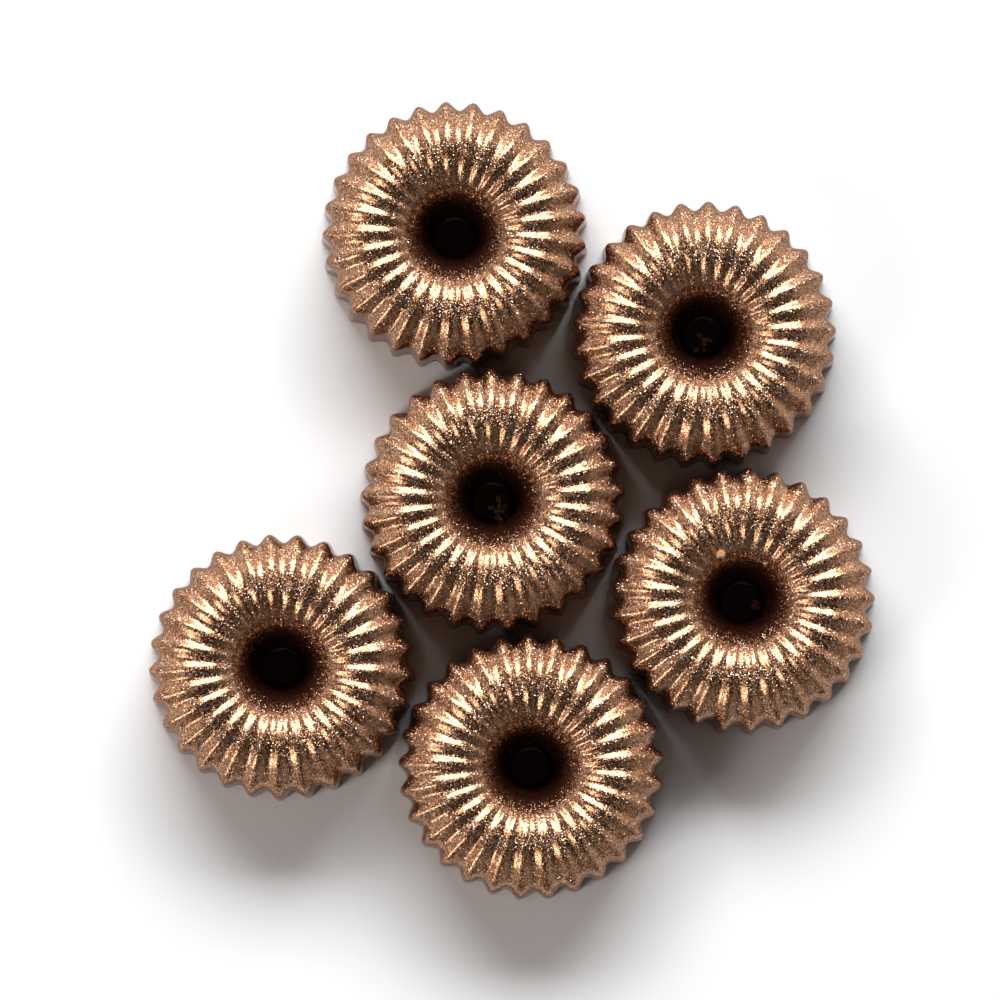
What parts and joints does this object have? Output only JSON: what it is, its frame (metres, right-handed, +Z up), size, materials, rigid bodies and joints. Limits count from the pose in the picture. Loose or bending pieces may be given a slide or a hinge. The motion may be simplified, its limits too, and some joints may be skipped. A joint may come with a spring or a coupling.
{
  "type": "filled chocolate set",
  "caption": "Set of fluted ring-shaped filled chocolates with a round well in the middle, dusted with a bronze lustre and lying close together.",
  "frame": {"origin": "on the table, under the middle of the set's box", "axes": "+Z up from the table; +Y along the longer side of the set, away from the viewer of the picture; +X to the right in the picture"},
  "size_m": [0.0816, 0.0896, 0.014],
  "materials": {
    "lustre": "dark chocolate dusted with a bronze and gold lustre powder that sparkles, thinning out to bare chocolate in the well",
    "praline": "firm nut praline paste with fine nut grains",
    "bare_chocolate": "dark chocolate, scraped flat, with a dull shine"
  },
  "bodies": {
    "chocolate_1": {"chocolate_1_shell": "lustre", "chocolate_1_filling": "praline", "chocolate_1_base": "bare_chocolate"},
    "chocolate_2": {"chocolate_2_shell": "lustre", "chocolate_2_filling": "praline", "chocolate_2_base": "bare_chocolate"},
    "chocolate_3": {"chocolate_3_shell": "lustre", "chocolate_3_filling": "praline", "chocolate_3_base": "bare_chocolate"},
    "chocolate_4": {"chocolate_4_shell": "lustre", "chocolate_4_filling": "praline", "chocolate_4_base": "bare_chocolate"},
    "chocolate_5": {"chocolate_5_shell": "lustre", "chocolate_5_filling": "praline", "chocolate_5_base": "bare_chocolate"},
    "chocolate_6": {"chocolate_6_shell": "lustre", "chocolate_6_filling": "praline", "chocolate_6_base": "bare_chocolate"}
  },
  "joints": [
    {"name": "lift_chocolate_1", "type": "slide", "parent": "chocolate_3", "child": "chocolate_1", "axis": [0, 0, 1], "range_m": [0, 0.03]},
    {"name": "lift_chocolate_2", "type": "slide", "parent": "chocolate_3", "child": "chocolate_2", "axis": [0, 0, 1], "range_m": [0, 0.03]},
    {"name": "lift_chocolate_4", "type": "slide", "parent": "chocolate_3", "child": "chocolate_4", "axis": [0, 0, 1], "range_m": [0, 0.03]},
    {"name": "lift_chocolate_5", "type": "slide", "parent": "chocolate_3", "child": "chocolate_5", "axis": [0, 0, 1], "range_m": [0, 0.03]},
    {"name": "lift_chocolate_6", "type": "slide", "parent": "chocolate_3", "child": "chocolate_6", "axis": [0, 0, 1], "range_m": [0, 0.03]}
  ]
}
